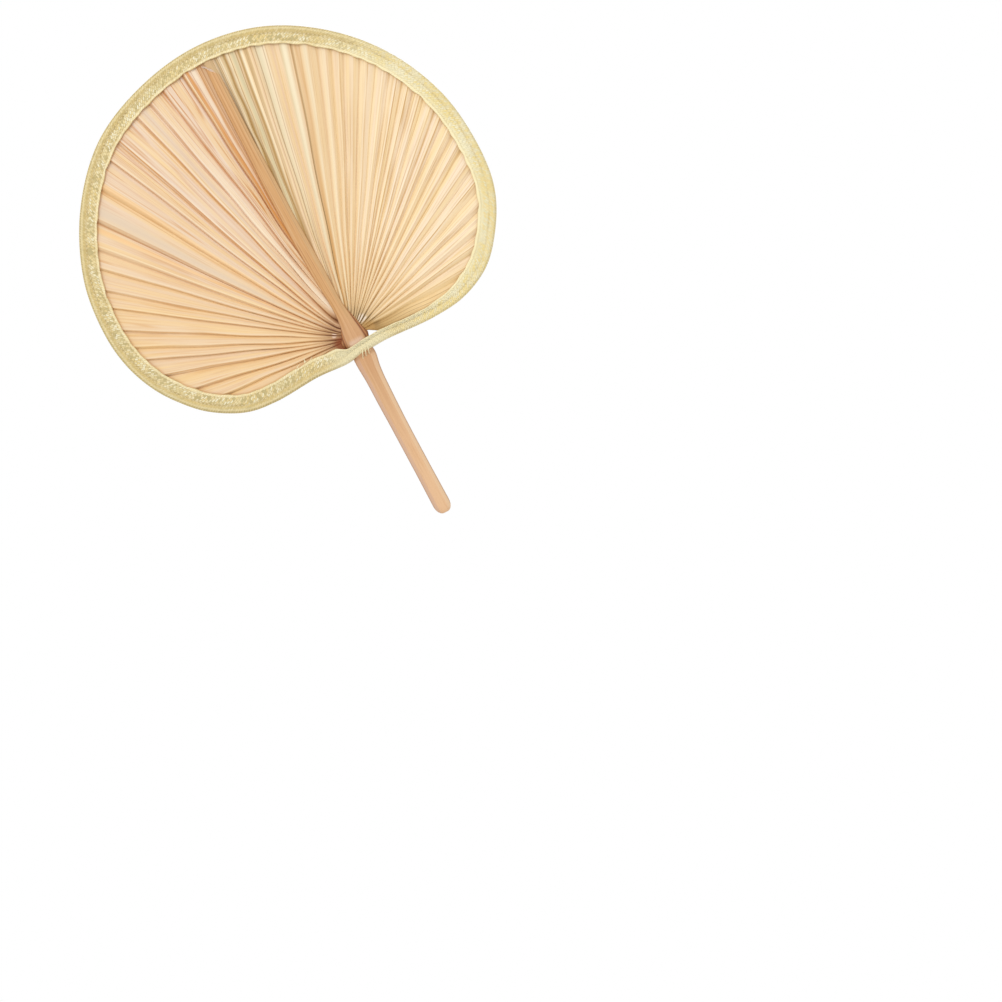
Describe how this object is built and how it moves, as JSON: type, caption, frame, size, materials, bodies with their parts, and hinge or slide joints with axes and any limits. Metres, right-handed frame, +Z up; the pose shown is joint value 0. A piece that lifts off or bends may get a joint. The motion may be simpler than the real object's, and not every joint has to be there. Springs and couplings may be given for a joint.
{
  "type": "palm leaf fan",
  "caption": "Rigid hand fan made of one pleated palm leaf on its own stalk, its rim clamped by cane hoops and bound with a sewn braid.",
  "frame": {"origin": "middle of the grip, on the axis of the handle", "axes": "+Z up the handle to the top of the blade, +X to the right as the front is seen, front face towards -Y"},
  "size_m": [0.3101, 0.0138, 0.3909],
  "materials": {
    "stalk": "smooth dried palm stalk, satin",
    "leaf_left": "dried palm leaf, fine lengthwise fibre, satin",
    "leaf_right": "dried palm leaf, fine lengthwise fibre, satin",
    "leaf_base": "dried palm leaf, tight folds in shade",
    "cane": "split cane, satin",
    "braid": "woven straw tape, matt with a silky fleck",
    "thread": "twisted thread"
  },
  "bodies": {
    "root": {"stalk": "stalk", "hastula": "stalk", "leaf_base_left": "leaf_base", "leaf_base_right": "leaf_base", "leaf_segment_left_01": "leaf_left", "leaf_segment_left_02": "leaf_left", "leaf_segment_left_03": "leaf_left", "leaf_segment_left_04": "leaf_left", "leaf_segment_left_05": "leaf_left", "leaf_segment_left_06": "leaf_left", "leaf_segment_left_07": "leaf_left", "leaf_segment_left_08": "leaf_left", "leaf_segment_left_09": "leaf_left", "leaf_segment_left_10": "leaf_left", "leaf_segment_left_11": "leaf_left", "leaf_segment_left_12": "leaf_left", "leaf_segment_left_13": "leaf_left", "leaf_segment_left_14": "leaf_left", "leaf_segment_left_15": "leaf_left", "leaf_segment_left_16": "leaf_left", "leaf_segment_left_17": "leaf_left", "leaf_segment_left_18": "leaf_left", "leaf_segment_left_19": "leaf_left", "leaf_segment_left_20": "leaf_left", "leaf_segment_right_01": "leaf_right", "leaf_segment_right_02": "leaf_right", "leaf_segment_right_03": "leaf_right", "leaf_segment_right_04": "leaf_right", "leaf_segment_right_05": "leaf_right", "leaf_segment_right_06": "leaf_right", "leaf_segment_right_07": "leaf_right", "leaf_segment_right_08": "leaf_right", "leaf_segment_right_09": "leaf_right", "leaf_segment_right_10": "leaf_right", "leaf_segment_right_11": "leaf_right", "leaf_segment_right_12": "leaf_right", "leaf_segment_right_13": "leaf_right", "leaf_segment_right_14": "leaf_right", "leaf_segment_right_15": "leaf_right", "leaf_segment_right_16": "leaf_right", "leaf_segment_right_17": "leaf_right", "leaf_segment_right_18": "leaf_right", "leaf_segment_right_19": "leaf_right", "leaf_segment_right_20": "leaf_right", "leaf_segment_right_21": "leaf_right", "leaf_segment_right_22": "leaf_right", "leaf_segment_right_23": "leaf_right", "leaf_segment_right_24": "leaf_right", "leaf_segment_right_25": "leaf_right", "rim_hoop_front": "cane", "rim_hoop_back": "cane", "binding_braid": "braid", "seam_outer_front": "thread", "seam_outer_back": "thread", "seam_inner_front": "thread", "seam_inner_back": "thread", "neck_stitch_left": "thread", "neck_stitch_middle": "thread", "neck_stitch_right": "thread"}
  },
  "joints": []
}
